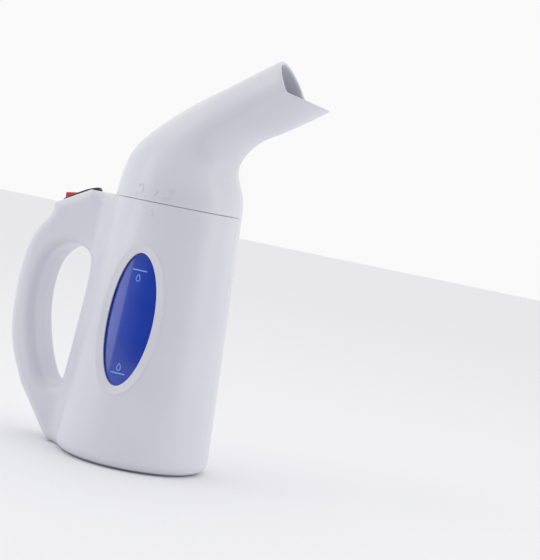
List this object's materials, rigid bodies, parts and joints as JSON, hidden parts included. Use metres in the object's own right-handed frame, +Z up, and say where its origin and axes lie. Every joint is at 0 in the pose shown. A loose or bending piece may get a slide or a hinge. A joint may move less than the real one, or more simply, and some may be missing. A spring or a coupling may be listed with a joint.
{
  "type": "garment steamer",
  "caption": "Hand-held garment steamer with a closed handle, an oval water window, a rocker switch and a lift-off steam head with an angled neck.",
  "frame": {"origin": "centre of the round base on the surface the steamer stands on", "axes": "+Z up; +X to the nozzle side, -X to the handle; +Y to the left as held"},
  "size_m": [0.169, 0.0904, 0.2447],
  "materials": {
    "shell_white": "satin-gloss moulded ABS",
    "base_white": "fine-textured moulded ABS",
    "tank_blue": "clear blue moulded polycarbonate",
    "collar_grey": "moulded heat-resistant nylon",
    "screw_steel": "zinc-plated steel",
    "cast_aluminium": "as-cast aluminium",
    "element_steel": "stainless steel",
    "thermostat_cap": "pressed aluminium cap",
    "silicone": "translucent silicone rubber",
    "grommet_rubber": "moulded rubber",
    "switch_black": "glossy black nylon",
    "rocker_red": "glossy red polycarbonate",
    "blade_brass": "stamped brass",
    "block_nylon": "natural nylon",
    "fuse_sleeve": "glass-fibre sleeve",
    "lead_brown": "brown insulation",
    "lead_blue": "blue insulation"
  },
  "bodies": {
    "housing": {"base_cover": "base_white", "base_screws": "screw_steel", "collar_ring": "silicone", "cord_clamp": "block_nylon", "cord_clamp_screws": "screw_steel", "cord_grommet": "grommet_rubber", "filler_collar": "collar_grey", "fuse_bracket": "element_steel", "heater_element": "element_steel", "heater_gasket": "silicone", "heater_plate": "cast_aluminium", "heater_screws": "screw_steel", "housing_left": "shell_white", "housing_right": "shell_white", "housing_screws": "screw_steel", "lead_fuse": "lead_blue", "lead_link": "lead_brown", "lead_live": "lead_brown", "lead_neutral": "lead_blue", "lead_switched": "lead_brown", "switch_body": "switch_black", "switch_terminals": "blade_brass", "terminal_block": "block_nylon", "thermal_fuse": "fuse_sleeve", "thermostat": "thermostat_cap", "water_tank": "tank_blue"},
    "head_seal": {"head_seal": "silicone"},
    "steam_head": {"head_shell_right": "shell_white", "head_shell_left": "shell_white", "head_lock_ring": "collar_grey", "splash_baffle": "collar_grey"},
    "rocker": {"switch_rocker": "rocker_red"}
  },
  "joints": [
    {"name": "head_lift", "type": "slide", "parent": "housing", "child": "head_seal", "axis": [0, 0, 1], "range_m": [0, 0.07]},
    {"name": "head_twist", "type": "hinge", "parent": "head_seal", "child": "steam_head", "pos_m": [0, 0, 0.151], "axis": [0, 0, 1], "range_deg": [0, 32]},
    {"name": "rocker_tilt", "type": "hinge", "parent": "housing", "child": "rocker", "pos_m": [-0.06293, 0, 0.14576], "axis": [0, -1, 0], "range_deg": [0, 20]}
  ]
}
